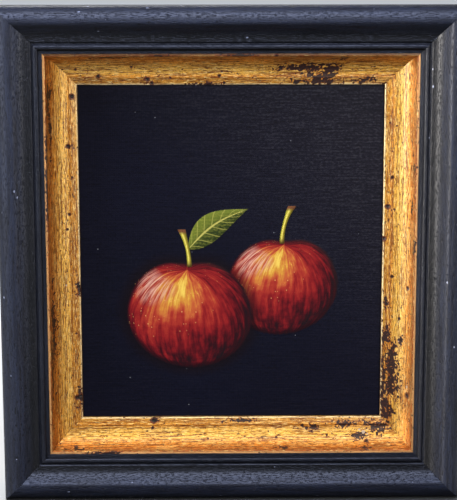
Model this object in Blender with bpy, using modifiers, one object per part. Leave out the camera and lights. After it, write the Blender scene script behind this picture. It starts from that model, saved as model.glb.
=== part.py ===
"""A small oil painting on linen board in a black and gilt frame, with its backing and wall hangers.

Metres, +Z up, the picture facing -Y. The origin is the middle of the top rail's back, where it meets the wall.
Each rail's section is drawn in two measures: "out", from the sight edge towards the frame's outer side, and
"rise", from the wall plane towards the viewer. "Along" runs down the rail's length from its middle.
"""

import math

import bmesh
import bpy
from mathutils import Matrix, Vector

MM = 0.001
GAP = 0.3 * MM  # between pieces that touch

# Driving dimensions
SIGHT_WIDTH = 150 * MM
SIGHT_HEIGHT = 167 * MM
REBATE_DEPTH = 9.6 * MM
REBATE_LAP = 5.0 * MM
SIGHT_LIP = 2.0 * MM
SCOOP_DEPTH = 11.6 * MM
GILT_FACE = 15.5 * MM
BLACK_FACE = 23.0 * MM
CREST_OVER_GILT = 6.0 * MM
LINEN = 0.5 * MM
BOARD = 3.0 * MM
BACKING = 2.0 * MM
HANGER_DROP = 81 * MM  # from the frame's top to the hangers

# Worked out from them
SIGHT_FRONT = REBATE_DEPTH + SIGHT_LIP
GILT_RISE = SIGHT_FRONT + SCOOP_DEPTH
GILT_BACK = 0.6 * MM
GILT_TUCK = 2.6 * MM  # under the black rail's lip
GILT_OUTER = GILT_FACE + GILT_TUCK
BLACK_INNER = GILT_OUTER + GAP
OUTER = GILT_FACE + BLACK_FACE
CREST_RISE = GILT_RISE + CREST_OVER_GILT
LINEN_FRONT = REBATE_DEPTH - GAP
BOARD_FRONT = LINEN_FRONT - LINEN - GAP
BACKING_FRONT = BOARD_FRONT - BOARD - GAP
BACKING_BACK = BACKING_FRONT - BACKING
LAND_MIDDLE = (BLACK_INNER + OUTER) / 2  # across the flat back of a black rail
CENTRE = Vector((0, 0, -SIGHT_HEIGHT / 2 - LAND_MIDDLE))

# Each side's turn about the view axis, and the half sizes of the opening across and along it
SIDES = {
    "top": (0, SIGHT_HEIGHT / 2, SIGHT_WIDTH / 2),
    "right": (90, SIGHT_WIDTH / 2, SIGHT_HEIGHT / 2),
    "bottom": (180, SIGHT_HEIGHT / 2, SIGHT_WIDTH / 2),
    "left": (270, SIGHT_WIDTH / 2, SIGHT_HEIGHT / 2),
}
CORNERS = {"top_right": (1, 1), "bottom_right": (1, -1), "bottom_left": (-1, -1), "top_left": (-1, 1)}
SECTION = Matrix(((0, 0, 1), (0, -1, 0), (1, 0, 0)))  # from (out, rise, along) to the top side's own axes
PLAN = Matrix(((1, 0, 0), (0, 0, -1), (0, 1, 0)))  # from (along, out, rise) to the same


def clear_scene():
    for thing in list(bpy.data.objects):
        bpy.data.objects.remove(thing, do_unlink=True)


def collection(name):
    made = bpy.data.collections.new(name)
    bpy.context.scene.collection.children.link(made)
    return made


def material(name, hex_colour, roughness, metallic=0.0):
    """A Principled material; the colour is an sRGB hex value."""
    made = bpy.data.materials.new(name)
    made.use_nodes = True
    shader = made.node_tree.nodes["Principled BSDF"]
    channels = [int(hex_colour[i : i + 2], 16) / 255 for i in (0, 2, 4)]
    linear = [c / 12.92 if c <= 0.04045 else ((c + 0.055) / 1.055) ** 2.4 for c in channels]
    shader.inputs["Base Color"].default_value = (*linear, 1)
    shader.inputs["Roughness"].default_value = roughness
    shader.inputs["Metallic"].default_value = metallic
    made.diffuse_color = (*linear, 1)
    return made


def arc(centre, radii, start, end, steps):
    """Points along an ellipse's arc, with its angles in degrees."""
    turns = [math.radians(start + (end - start) * i / steps) for i in range(steps + 1)]
    return [(centre[0] + radii[0] * math.cos(t), centre[1] + radii[1] * math.sin(t)) for t in turns]


def mesh_object(name, mesh, finish, parts):
    made = bpy.data.objects.new(name, mesh)
    parts.objects.link(made)
    if finish:
        mesh.materials.clear()
        mesh.materials.append(finish)
    return made


def from_curve(name, curve, finish, parts):
    """The solid of a curve as a mesh, its caps welded on."""
    guide = bpy.data.objects.new(name + "_guide", curve)
    parts.objects.link(guide)
    graph = bpy.context.evaluated_depsgraph_get()
    mesh = bpy.data.meshes.new_from_object(guide.evaluated_get(graph))
    bpy.data.objects.remove(guide, do_unlink=True)
    bpy.data.curves.remove(curve)
    mesh.name = name
    shape = bmesh.new()
    shape.from_mesh(mesh)
    bmesh.ops.remove_doubles(shape, verts=shape.verts, dist=0.001 * MM)
    bmesh.ops.recalc_face_normals(shape, faces=shape.faces)
    shape.to_mesh(mesh)
    shape.free()
    return mesh_object(name, mesh, finish, parts)


def outline_solid(name, outlines, thickness, finish, parts):
    """A flat outline, with any holes as further outlines, drawn in its own X and Y and thick along its own Z."""
    curve = bpy.data.curves.new(name, "CURVE")
    curve.dimensions = "2D"
    curve.fill_mode = "BOTH"
    curve.extrude = thickness / 2
    for points in outlines:
        spline = curve.splines.new("POLY")
        spline.points.add(len(points) - 1)
        for point, (x, y) in zip(spline.points, points):
            point.co = (x, y, 0, 1)
        spline.use_cyclic_u = True
    return from_curve(name, curve, finish, parts)


def box(name, size, finish, parts):
    shape = bmesh.new()
    bmesh.ops.create_cube(shape, size=1, matrix=Matrix.Diagonal((*size, 1)))
    mesh = bpy.data.meshes.new(name)
    shape.to_mesh(mesh)
    shape.free()
    return mesh_object(name, mesh, finish, parts)


def turned(name, profile, steps, finish, parts):
    """A profile in the XZ plane, from the axis round to the axis, turned about Z."""
    mesh = bpy.data.meshes.new(name)
    edges = [(i, i + 1) for i in range(len(profile) - 1)]
    mesh.from_pydata([(radius, 0, height) for radius, height in profile], edges, [])
    made = mesh_object(name, mesh, finish, parts)
    spin = made.modifiers.new("Turn", "SCREW")
    spin.steps = spin.render_steps = steps
    spin.use_merge_vertices = True
    spin.merge_threshold = 0.01 * MM
    spin.use_smooth_shade = True
    return made


def cut(piece, cutter):
    taken = piece.modifiers.new("Cut", "BOOLEAN")
    taken.operation = "DIFFERENCE"
    taken.object = cutter


def as_cutter(piece):
    piece.hide_render = True
    piece.display_type = "WIRE"
    return piece


def on_side(side, out, rise, along=0.0):
    """A point of one side, from the picture's centre."""
    turn, half_across, _ = SIDES[side]
    return Matrix.Rotation(math.radians(turn), 3, "Y") @ Vector((along, -rise, half_across + out))


def place(piece, side, base, out=0.0, rise=0.0, along=0.0):
    turn = Matrix.Rotation(math.radians(SIDES[side][0]), 3, "Y")
    piece.rotation_euler = (turn @ base).to_euler()
    piece.location = on_side(side, out, rise, along)


def smooth_edges(piece, degrees=30):
    piece.data.shade_smooth()
    piece.data.set_sharp_from_angle(angle=math.radians(degrees))


def gilt_section():
    """The scoop: sight edge, inner flat, ridge, cove and outer lip, then the tuck and the rebate behind."""
    edge_radius = 0.6 * MM
    flat_end = (3.3 * MM, SIGHT_FRONT + 0.7 * MM)
    ridge_radius = 0.5 * MM
    lip_radius = 0.5 * MM
    lip_width = 0.9 * MM
    cove_end = 78  # degrees, so that the cove meets the lip short of upright
    cove_start = (flat_end[0] + 2 * ridge_radius, flat_end[1])
    cove_stop = (GILT_FACE - lip_width - lip_radius, GILT_RISE - lip_radius)
    cove_across = (cove_stop[0] - cove_start[0]) / math.sin(math.radians(cove_end))
    cove_up = (cove_stop[1] - cove_start[1]) / (1 - math.cos(math.radians(cove_end)))
    cove_centre = (cove_start[0], cove_start[1] + cove_up)
    points = [(0, REBATE_DEPTH)]
    points += arc((edge_radius, SIGHT_FRONT - edge_radius), (edge_radius,) * 2, 180, 105, 3)
    points += arc((flat_end[0] + ridge_radius, flat_end[1]), (ridge_radius,) * 2, 180, 20, 5)
    points += arc(cove_centre, (cove_across, cove_up), -90, cove_end - 90, 14)
    points += arc((cove_stop[0] + lip_radius, cove_stop[1]), (lip_radius,) * 2, 160, 90, 3)
    points += [(GILT_OUTER, GILT_RISE), (GILT_OUTER, GILT_BACK)]
    rebate_wall = REBATE_LAP + GAP
    points += [(rebate_wall, GILT_BACK), (rebate_wall, REBATE_DEPTH)]
    return points


def black_section():
    """A sunk margin, a bead, a quirk, the long slope up to the crest and the rounded outer side."""
    margin_rise = GILT_RISE + 0.6 * MM
    bead = (GILT_FACE + 3.1 * MM, margin_rise + 1.0 * MM)
    bead_radii = (1.3 * MM, 0.7 * MM)
    quirk = (GILT_FACE + 4.9 * MM, margin_rise + 0.3 * MM)
    arris = (GILT_FACE + 5.6 * MM, margin_rise + 1.1 * MM)
    crest = (OUTER - 5.6 * MM, CREST_RISE)
    shoulder_drop = 6.8 * MM
    chamfer = 0.8 * MM
    points = [(GILT_FACE, GILT_RISE + GAP), (GILT_FACE, margin_rise)]
    points += [(bead[0] - bead_radii[0] - 0.1 * MM, margin_rise)]
    points += arc(bead, bead_radii, 180, 0, 8)
    points += [quirk, arris]
    steps = 14
    for i in range(1, steps):
        share = (i / steps) ** 1.3  # steepest past the middle, so the slope starts nearly flat
        ease = share * share * (3 - 2 * share)
        points.append(
            (arris[0] + (crest[0] - arris[0]) * i / steps, arris[1] + (crest[1] - arris[1]) * ease)
        )
    points += arc((crest[0], crest[1] - shoulder_drop), (OUTER - crest[0], shoulder_drop), 90, 0, 10)
    points += [(OUTER, chamfer), (OUTER - chamfer, 0), (BLACK_INNER, 0)]
    points += [(BLACK_INNER, GILT_RISE + GAP)]
    return points


def tape_section():
    """Gummed paper pressed on the backing, over the points and on to the gilt rail's back."""
    paper = 0.3 * MM
    over_points = BACKING_BACK - 1.1 * MM
    route = [
        (-9.0 * MM, BACKING_BACK - GAP),
        (-7.2 * MM, BACKING_BACK - GAP),
        (-6.4 * MM, over_points),
        (3.0 * MM, over_points),
        (4.8 * MM, GILT_BACK - GAP),
        (GILT_OUTER - 0.5 * MM, GILT_BACK - GAP),
    ]
    skew = 0.1 * MM  # keeps the slopes as thick as the flats
    return route + [(out - skew, rise - paper) for out, rise in reversed(route)]


def mitred(name, section, side, finish, parts):
    """A length of one section along a side, both its ends slid to the 45 degree mitres."""
    half_along = SIDES[side][2]
    back_off = GAP / 2 * math.sqrt(2)
    made = outline_solid(name, [section], 2 * half_along, finish, parts)
    for vertex in made.data.vertices:
        vertex.co.z = math.copysign(half_along + vertex.co.x - back_off, vertex.co.z)
    place(made, side, SECTION)
    return made


def add_rails(kind, section, finish, parts):
    rails = {side: mitred(f"{kind}_rail_{side}", section, side, finish, parts) for side in SIDES}
    for rail in rails.values():
        smooth_edges(rail, 25)
    return rails


def slab(name, half_sizes, front, thickness, finish, parts):
    made = box(name, (2 * half_sizes[0], thickness, 2 * half_sizes[1]), finish, parts)
    made.location = (0, -(front - thickness / 2), 0)
    return made


def add_panel(finishes, parts):
    """The linen on its board, and the backing board behind, all held in the gilt rails' rebate."""
    halves = (SIGHT_WIDTH / 2 + REBATE_LAP, SIGHT_HEIGHT / 2 + REBATE_LAP)
    slab("linen", halves, LINEN_FRONT, LINEN, finishes["linen"], parts)
    slab("panel_board", halves, BOARD_FRONT, BOARD, finishes["board"], parts)
    slab("backing_board", halves, BACKING_FRONT, BACKING, finishes["backing"], parts)


def apple_outline(radius, lean, grow=0.0, steps=40):
    """A round fruit with a dip at the stalk, a little narrower at its foot and leaning to one side."""
    points = []
    for i in range(steps):
        turn = 2 * math.pi * i / steps
        from_top = abs((turn - math.pi / 2 + math.pi) % (2 * math.pi) - math.pi)
        dip = 0.10 * math.exp(-((from_top / 0.32) ** 2))
        foot = 0.05 * max(0, -math.sin(turn)) ** 2
        reach = radius * (1 - dip - foot) + grow
        x, z = 1.04 * reach * math.cos(turn), 0.96 * reach * math.sin(turn)
        points.append((x + lean * z, z))
    return points


def leaf_outline(length, width, bow, steps=12):
    """Two edges about a bowed rib, from the stalk end to the tip."""
    upper, lower = [], []
    for i in range(steps + 1):
        share = i / steps
        half = width / 2 * math.sin(math.pi * share**0.8) * (1 - 0.25 * share)
        rib = bow * math.sin(math.pi * share)
        upper.append((length * share, rib + half))
        lower.append((length * share, rib - half))
    return upper + lower[-2:0:-1]


def stalk_outline(height, foot, tip, bend, steps=6):
    """A short tapering stalk that leans over as it rises and ends in a slightly wider tip."""
    left, right = [], []
    for i in range(steps + 1):
        share = i / steps
        half = (foot + (tip - foot) * share) / 2 * (1 - 0.35 * math.sin(math.pi * share))
        middle = bend * share**2
        left.append((middle - half, height * share))
        right.append((middle + half, height * share))
    return left + right[::-1]


def stroke(name, outline, middle, level, finish, parts, turn=0.0):
    """A patch of paint standing on the linen; level 0 lies on the linen and level 1 on that paint."""
    film = 0.4 * MM
    made = outline_solid(name, [outline], film, finish, parts)
    made.rotation_euler = (PLAN @ Matrix.Rotation(math.radians(turn), 3, "Z")).to_euler()
    rise = LINEN_FRONT + GAP + film / 2 + level * (film + GAP)
    made.location = (middle[0], -rise, middle[1])
    return made


def add_paint(finishes, parts, cutters):
    """A generic still life: two apples, a stalk on each and a leaf, in low relief."""
    front = (-21 * MM, -31 * MM)
    rear = (25 * MM, -17 * MM)
    front_radius = 30 * MM
    rear_radius = 27 * MM
    front_lean = -0.04
    rear_lean = 0.06
    stroke("paint_apple_front", apple_outline(front_radius, front_lean), front, 0, finishes["crimson"], parts)
    rear_apple = stroke(
        "paint_apple_rear", apple_outline(rear_radius, rear_lean), rear, 0, finishes["crimson"], parts
    )
    shadow = outline_solid(
        "front_apple_cutter", [apple_outline(front_radius, front_lean, grow=0.6 * MM)], 4 * MM, None, cutters
    )
    shadow.rotation_euler = PLAN.to_euler()
    shadow.location = (front[0], -LINEN_FRONT, front[1])
    cut(rear_apple, as_cutter(shadow))
    flushes = {"front": (front, front_radius, 0.33), "rear": (rear, rear_radius, 0.28)}
    for name, (middle, radius, share) in flushes.items():
        patch = apple_outline(radius * share, 0.1, steps=24)
        spot = (middle[0] + 0.12 * radius, middle[1] + 0.36 * radius)
        stroke("paint_flush_" + name, patch, spot, 1, finishes["yellow"], parts)
        dip = (middle[0] + 0.1 * MM, middle[1] + 0.86 * radius)
        bend = 5 * MM if name == "rear" else -4 * MM
        stalk = stalk_outline(17 * MM, 2.6 * MM, 4.2 * MM, bend)
        stroke("paint_stalk_" + name, stalk, dip, 1, finishes["stalk"], parts)
    leaf_foot = (front[0] - 0.4 * MM, front[1] + front_radius + 3 * MM)
    leaf = leaf_outline(36 * MM, 15 * MM, 3 * MM)
    stroke("paint_leaf", leaf, leaf_foot, 0, finishes["leaf"], parts, turn=34)


def vee_outline(corner, out, leg, thickness, grow=0.0):
    """An L with its elbow on the mitre at one distance out and a leg along each rail, seen from the front."""
    sign_x, sign_z = CORNERS[corner]
    far = out + thickness / 2 + grow
    near = out - thickness / 2 - grow
    end = out - leg - grow
    ell = [(far, far), (end, far), (end, near), (near, near), (near, end), (far, end)]
    half_x, half_z = SIGHT_WIDTH / 2, SIGHT_HEIGHT / 2
    return [(sign_x * (half_x + x), sign_z * (half_z + z)) for x, z in ell]


def add_vee_nails(kind, out, leg, head, depth, rails, finish, parts, cutters):
    """V-shaped steel nails across each mitre, sunk just under the rails' backs in slots of their own shape."""
    thickness = 0.6 * MM
    above = 2 * MM
    for corner in CORNERS:
        nail = outline_solid(
            f"{kind}_vnail_{corner}", [vee_outline(corner, out, leg, thickness)], depth, finish, parts
        )
        nail.rotation_euler = PLAN.to_euler()
        nail.location = (0, -(head + depth / 2), 0)
        slot_depth = depth + GAP + above
        slot = outline_solid(
            f"{kind}_slot_{corner}", [vee_outline(corner, out, leg, thickness, GAP)], slot_depth, None, cutters
        )
        slot.rotation_euler = PLAN.to_euler()
        slot.location = (0, -(head + depth + GAP - slot_depth / 2), 0)
        as_cutter(slot)
        for side in corner.split("_"):
            cut(rails[side], slot)


def add_points(gilt_rails, finish, parts, cutters):
    """Flat steel points, two to a side, from over the backing into the gilt rails."""
    steel = 0.5 * MM
    half_width = 2.5 * MM
    blunt, shoulder, tip = -6 * MM, 7.6 * MM, 9.6 * MM
    outline = [(-half_width, blunt), (half_width, blunt), (half_width, shoulder), (0, tip), (-half_width, shoulder)]
    level = BACKING_BACK - GAP - steel / 2
    for side, (_, _, half_along) in SIDES.items():
        for number, share in enumerate((-0.5, 0.5), 1):
            along = share * half_along
            point = outline_solid(f"point_{side}_{number}", [outline], steel, finish, parts)
            place(point, side, PLAN, rise=level, along=along)
            near, far = REBATE_LAP - GAP, tip + GAP
            size = (2 * (half_width + GAP), far - near, steel + 2 * GAP)
            slot = as_cutter(box(f"point_slot_{side}_{number}", size, None, cutters))
            place(slot, side, PLAN, out=(near + far) / 2, rise=level, along=along)
            cut(gilt_rails[side], slot)


EYE_OUT = BLACK_INNER + 2.2 * MM
WIRE_RADIUS = 1.0 * MM
EYE_BORE = WIRE_RADIUS + 0.35 * MM
EYE_RADIUS = EYE_BORE + 0.8 * MM
EYE_RISE = -GAP - EYE_RADIUS
STRAP_WIDTH = 10 * MM
STRAP_THICKNESS = 1.6 * MM
STRAP_END = OUTER - 1.3 * MM
SCREW_OUT = 30.5 * MM


def strap_outlines():
    """The folded strip from the side: a flat tail and a round eye at its inner end."""
    face = -GAP - STRAP_THICKNESS
    meet = math.degrees(math.asin((EYE_RISE - face) / EYE_RADIUS))
    eye = arc((EYE_OUT, EYE_RISE), (EYE_RADIUS,) * 2, 90, 360 - meet, 16)
    tail = [(STRAP_END, face), (STRAP_END, -GAP)]
    bore = arc((EYE_OUT, EYE_RISE), (EYE_BORE,) * 2, 0, 337.5, 15)
    return [eye + tail, bore]


def round_tail(strap):
    """Rounds the two corners of the tail, as seen from behind."""
    shape = bmesh.new()
    shape.from_mesh(strap.data)
    corners = [
        edge
        for edge in shape.edges
        if all(abs(v.co.x - STRAP_END) < 0.01 * MM for v in edge.verts)
        and abs(edge.verts[0].co.z - edge.verts[1].co.z) < 0.01 * MM
    ]
    bmesh.ops.bevel(shape, geom=corners, offset=3.6 * MM, segments=4, profile=0.5, affect="EDGES")
    shape.to_mesh(strap.data)
    shape.free()


def ring_path():
    """A D from above: a straight bar through the eye, two short legs and a half circle. The bar lies on X."""
    half_bar = 6.6 * MM
    corner = 1.5 * MM
    leg = 3.9 * MM
    points = arc((-half_bar + corner, -corner), (corner,) * 2, 90, 180, 3)
    points += arc((0, -corner - leg), (half_bar,) * 2, 180, 360, 14)
    points += arc((half_bar - corner, -corner), (corner,) * 2, 0, 90, 3)
    middle = [(half_bar - corner) * share for share in (0.33, -0.33)]
    return points + [(x, 0) for x in middle]


def tube(name, points, radius, finish, parts):
    """A closed ring of round wire through the points."""
    curve = bpy.data.curves.new(name, "CURVE")
    curve.dimensions = "3D"
    curve.bevel_depth = radius
    curve.bevel_resolution = 2
    spline = curve.splines.new("POLY")
    spline.points.add(len(points) - 1)
    for point, (x, y) in zip(spline.points, points):
        point.co = (x, y, 0, 1)
    spline.use_cyclic_u = True
    return from_curve(name, curve, finish, parts)


def screw_profile(head_radius, head_height, shank_radius, length):
    dome = arc((0, 0.5 * MM), (head_radius, head_height - 0.5 * MM), 90, 0, 6)
    tip = 2.4 * MM
    shank = [(head_radius, 0), (shank_radius, 0), (shank_radius, -length + tip), (0, -length)]
    return [(max(0, x), z) for x, z in dome] + shank


def add_hanger(side, black_rail, finishes, parts, cutters):
    """A strap hanger across a side rail, its ring pointing inward and swinging about an upright bar."""
    up = SIDES["top"][1] + OUTER - HANGER_DROP
    along = up if side == "left" else -up
    strap = outline_solid(f"strap_{side}", strap_outlines(), STRAP_WIDTH, finishes["steel"], parts)
    round_tail(strap)
    place(strap, side, SECTION, along=along)
    smooth_edges(strap)

    ring = tube(f"d_ring_{side}", ring_path(), WIRE_RADIUS, finishes["steel"], parts)
    place(ring, side, PLAN, out=EYE_OUT, rise=EYE_RISE, along=along)
    smooth_edges(ring, 60)

    shank, length = 1.45 * MM, 11.5 * MM
    screw = turned(f"screw_{side}", screw_profile(3.3 * MM, 2.1 * MM, shank, length), 20, finishes["steel"], parts)
    back = Matrix.Rotation(math.pi, 3, "X")  # the head faces the wall
    seat = -GAP - STRAP_THICKNESS - GAP
    place(screw, side, PLAN @ back, out=SCREW_OUT, rise=seat, along=along)
    for number in range(2):
        blade = as_cutter(box(f"recess_{side}_{number + 1}", (3.6 * MM, 0.8 * MM, 2.4 * MM), None, cutters))
        turn = Matrix.Rotation(math.radians(45 + 90 * number), 3, "Z")
        place(blade, side, PLAN @ turn, out=SCREW_OUT, rise=seat - 2.1 * MM, along=along)
        cut(screw, blade)

    bore_radius = shank + 0.35 * MM
    bore_length = length + 2 * MM
    profile = [(0, bore_length), (bore_radius, bore_length), (bore_radius, 0), (0, 0)]
    bore = as_cutter(turned(f"screw_bore_{side}", profile, 16, None, cutters))
    place(bore, side, PLAN, out=SCREW_OUT, rise=seat - 0.5 * MM, along=along)
    cut(strap, bore)
    cut(black_rail, bore)


def add_bumper(side, finish, parts):
    """A low round dome on the back of the bottom rail, near its corner."""
    radius, height = 5 * MM, 3 * MM
    profile = arc((0, 0.8 * MM), (radius, height - 0.8 * MM), 90, 0, 7) + [(radius - 0.3 * MM, 0), (0, 0)]
    bumper = turned(f"bumper_{side}", [(max(0, x), z) for x, z in profile], 24, finish, parts)
    inset = 17 * MM
    sign = 1 if side == "left" else -1  # along the bottom rail, left is the positive end
    back = Matrix.Rotation(math.pi, 3, "X")
    place(bumper, "bottom", PLAN @ back, out=LAND_MIDDLE, rise=-GAP, along=sign * (SIGHT_WIDTH / 2 + OUTER - inset))
    smooth_edges(bumper, 50)


def build():
    clear_scene()
    parts = collection("framed_painting")
    cutters = collection("cutters")
    cutters.hide_render = True
    picture = bpy.data.objects.new("picture_centre", None)
    parts.objects.link(picture)
    picture.location = CENTRE

    finishes = {
        "black": material("black_stained_ash", "24242a", 0.45),
        "gilt": material("gilt_leaf", "d39a3e", 0.38, 0.85),
        "linen": material("dark_oil_ground", "16171f", 0.5),
        "board": material("panel_board", "8a6a48", 0.8),
        "backing": material("backing_board", "6d5644", 0.85),
        "tape": material("gummed_paper", "a98256", 0.8),
        "steel": material("zinc_plated_steel", "a7aaad", 0.35, 1.0),
        "rubber": material("bumper_rubber", "2b2b2b", 0.7),
        "crimson": material("crimson_paint", "7a1f22", 0.45),
        "yellow": material("yellow_flush_paint", "c98a35", 0.45),
        "stalk": material("yellow_green_paint", "a09a3c", 0.45),
        "leaf": material("leaf_green_paint", "4b5a2a", 0.45),
    }
    gilt_rails = add_rails("gilt", gilt_section(), finishes["gilt"], parts)
    black_rails = add_rails("black", black_section(), finishes["black"], parts)
    add_vee_nails("gilt", 13 * MM, 5 * MM, 1.1 * MM, 7.5 * MM, gilt_rails, finishes["steel"], parts, cutters)
    add_vee_nails("black", 31 * MM, 8 * MM, 0.4 * MM, 10 * MM, black_rails, finishes["steel"], parts, cutters)
    add_panel(finishes, parts)
    add_paint(finishes, parts, cutters)
    add_points(gilt_rails, finishes["steel"], parts, cutters)
    for side in SIDES:
        mitred(f"tape_{side}", tape_section(), side, finishes["tape"], parts)
    for side in ("left", "right"):
        add_hanger(side, black_rails[side], finishes, parts, cutters)
        add_bumper(side, finishes["rubber"], parts)

    for piece in list(parts.objects) + list(cutters.objects):
        if piece != picture:
            piece.parent = picture


build()
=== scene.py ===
"""A small oil painting on linen board in a black and gilt frame, dressed over its CAD parts.

Sizes are in millimetres until MM turns them to metres. A rail's section is drawn in two measures, as the CAD draws
it: "out", from the sight edge towards the frame's outer side, and "rise", from the wall plane towards the viewer.
"Along" runs down a rail from its middle: rightwards on the top rail, down the right one, and so on round.
"""

import math

import bpy
import numpy as np
from mathutils import Matrix, Vector


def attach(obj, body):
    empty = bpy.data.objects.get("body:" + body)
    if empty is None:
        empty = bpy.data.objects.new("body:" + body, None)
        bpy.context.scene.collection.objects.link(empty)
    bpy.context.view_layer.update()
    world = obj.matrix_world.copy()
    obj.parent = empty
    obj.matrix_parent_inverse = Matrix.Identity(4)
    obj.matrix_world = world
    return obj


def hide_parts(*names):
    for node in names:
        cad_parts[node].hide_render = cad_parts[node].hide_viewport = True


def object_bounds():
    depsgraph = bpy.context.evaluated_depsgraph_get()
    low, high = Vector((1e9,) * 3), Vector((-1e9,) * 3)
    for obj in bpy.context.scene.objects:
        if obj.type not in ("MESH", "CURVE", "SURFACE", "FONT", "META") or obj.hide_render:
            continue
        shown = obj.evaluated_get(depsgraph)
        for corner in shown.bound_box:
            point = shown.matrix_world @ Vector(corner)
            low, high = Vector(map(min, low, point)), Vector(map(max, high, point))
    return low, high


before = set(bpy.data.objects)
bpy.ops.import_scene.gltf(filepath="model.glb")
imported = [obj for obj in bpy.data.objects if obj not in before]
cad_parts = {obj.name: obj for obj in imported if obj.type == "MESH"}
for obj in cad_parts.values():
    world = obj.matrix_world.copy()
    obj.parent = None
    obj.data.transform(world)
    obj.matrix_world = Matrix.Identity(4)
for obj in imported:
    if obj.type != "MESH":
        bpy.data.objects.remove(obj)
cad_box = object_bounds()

MM = 0.001

# The frame's measures, the same as the CAD's
SIGHT_WIDTH, SIGHT_HEIGHT = 150, 167
REBATE_DEPTH, REBATE_LAP = 9.6, 5.0
SIGHT_FRONT = 11.6
GILT_FACE, GILT_RISE, GILT_OUTER, GILT_BACK = 15.5, 23.2, 18.1, 0.6
OUTER, CREST_RISE = 38.5, 29.2
BLACK_INNER = 18.4
LINEN, LINEN_FRONT = 0.5, 9.3
BACKING_BACK = 3.2
GAP = 0.3
WELD = 0.002 * MM  # points closer than this become one
TABLE = 97  # cells across a table of random heights, before it repeats
GRAIN_SHIFT = 300  # from one rail's grain to the next's, so that no two rails show the same
NAIL_OUT, NAIL_LEG, NAIL_STEEL, NAIL_SLOT = 31, 8, 0.6, 2.6
GILT_STEPS, BLACK_STEPS, TAPE_STEPS = (0.35, 0.44), (0.42, 0.9), (0.8, 1.2)  # the grids' cells, across and along
CENTRE = Vector((0, 0, -(SIGHT_HEIGHT / 2 + (BLACK_INNER + OUTER) / 2)))
SIDES = {  # turn about the view axis, then half the opening across and along the rail
    "top": (0, SIGHT_HEIGHT / 2, SIGHT_WIDTH / 2),
    "right": (90, SIGHT_WIDTH / 2, SIGHT_HEIGHT / 2),
    "bottom": (180, SIGHT_HEIGHT / 2, SIGHT_WIDTH / 2),
    "left": (270, SIGHT_WIDTH / 2, SIGHT_HEIGHT / 2),
}
LIGHT = np.array([-0.5, 0.6, 0.62])  # painted light in the picture: from the left, the front and above


# Colours and nodes


def linear(hex_colour):
    channels = [int(hex_colour[i : i + 2], 16) / 255 for i in (1, 3, 5)]
    return (*(c / 12.92 if c <= 0.04045 else ((c + 0.055) / 1.055) ** 2.4 for c in channels), 1)


def add(tree, kind, inputs=None, stops=None, out=0, **settings):
    """Adds a node. Inputs are values, hex colours or other nodes' outputs; stops fill a colour ramp."""
    made = tree.nodes.new("ShaderNode" + kind)
    for name, value in settings.items():
        setattr(made, name, value)
    if stops:
        ramp = made.color_ramp
        while len(ramp.elements) < len(stops):
            ramp.elements.new(0.5)
        for element, (place, colour) in zip(ramp.elements, sorted(stops)):
            element.position = place
            element.color = linear(colour)
    for name, value in (inputs or {}).items():
        if isinstance(value, bpy.types.NodeSocket):
            tree.links.new(value, made.inputs[name])
        else:
            made.inputs[name].default_value = linear(value) if isinstance(value, str) else value
    return made.outputs[out]


def new_finish(name, **values):
    """A Principled material with even values on its own sockets; gives the material, its nodes and the shader."""
    made = bpy.data.materials.new(name)
    made.use_nodes = True
    shader = made.node_tree.nodes["Principled BSDF"]
    for socket, value in values.items():
        name = socket.replace("_", " ")
        shader.inputs[name].default_value = linear(value) if isinstance(value, str) else value
    return made, made.node_tree, shader


def mix(tree, share, first, second, blend="MIX"):
    return add(tree, "Mix", {0: share, 6: first, 7: second}, out=2, data_type="RGBA", blend_type=blend)


def maths(tree, operation, first, second=0.0, third=0.0, clamp=False):
    return add(tree, "Math", {0: first, 1: second, 2: third}, operation=operation, use_clamp=clamp)


def between(tree, value, low, high):
    """0 below low, 1 above high and a soft step in between; low may be the larger one."""
    return add(
        tree, "MapRange", {"Value": value, "From Min": low, "From Max": high}, interpolation_type="SMOOTHSTEP"
    )


def attribute(tree, name, out=2):
    return add(tree, "Attribute", out=out, attribute_name=name)


def noise(tree, where, detail, roughness):
    """One feature per unit of the coordinate, which is a vector socket."""
    return add(tree, "TexNoise", {"Vector": where, "Scale": 1, "Detail": detail, "Roughness": roughness})


def parts_of(tree, vector):
    """A vector's three numbers."""
    return [add(tree, "SeparateXYZ", {0: vector}, out=i) for i in range(3)]


def mapped(tree, vector, scale, shift=(0, 0, 0)):
    return add(tree, "Mapping", {"Vector": vector, "Scale": scale, "Location": shift})


def stretched(tree, where, sizes, shift=(0, 0, 0)):
    """The coordinate counted in features of these sizes, in metres, along its own axes."""
    return mapped(tree, where, [1 / s for s in sizes], shift)


def bump(tree, shader, height, distance, strength):
    raised = add(tree, "Bump", {"Height": height, "Distance": distance, "Strength": strength})
    tree.links.new(raised, shader.inputs["Normal"])


def join(tree, shader, **outputs):
    for socket, output in outputs.items():
        tree.links.new(output, shader.inputs[socket.replace("_", " ")])


# Shapes


def rough(x, y, seed):
    """Smooth random heights between -1 and 1, one to each unit cell."""
    table = np.random.default_rng(seed).uniform(-1, 1, (TABLE, TABLE))
    cell_x, cell_y = np.floor(x).astype(int), np.floor(y).astype(int)
    part_x, part_y = x - cell_x, y - cell_y
    part_x, part_y = part_x * part_x * (3 - 2 * part_x), part_y * part_y * (3 - 2 * part_y)
    rows = [
        table[cell_x % TABLE, (cell_y + j) % TABLE] * (1 - part_x)
        + table[(cell_x + 1) % TABLE, (cell_y + j) % TABLE] * part_x
        for j in (0, 1)
    ]
    return rows[0] * (1 - part_y) + rows[1] * part_y


def layered(x, y, seed, octaves=3):
    return sum(rough(x * 2**k, y * 2**k, seed + k) / 2**k for k in range(octaves)) / (2 - 2 ** (1 - octaves))


def first_seed(side, start):
    return start + 100 * list(SIDES).index(side)


def soft_step(low, high, value):
    share = np.clip((value - low) / (high - low), 0, 1)
    return share * share * (3 - 2 * share)


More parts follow.
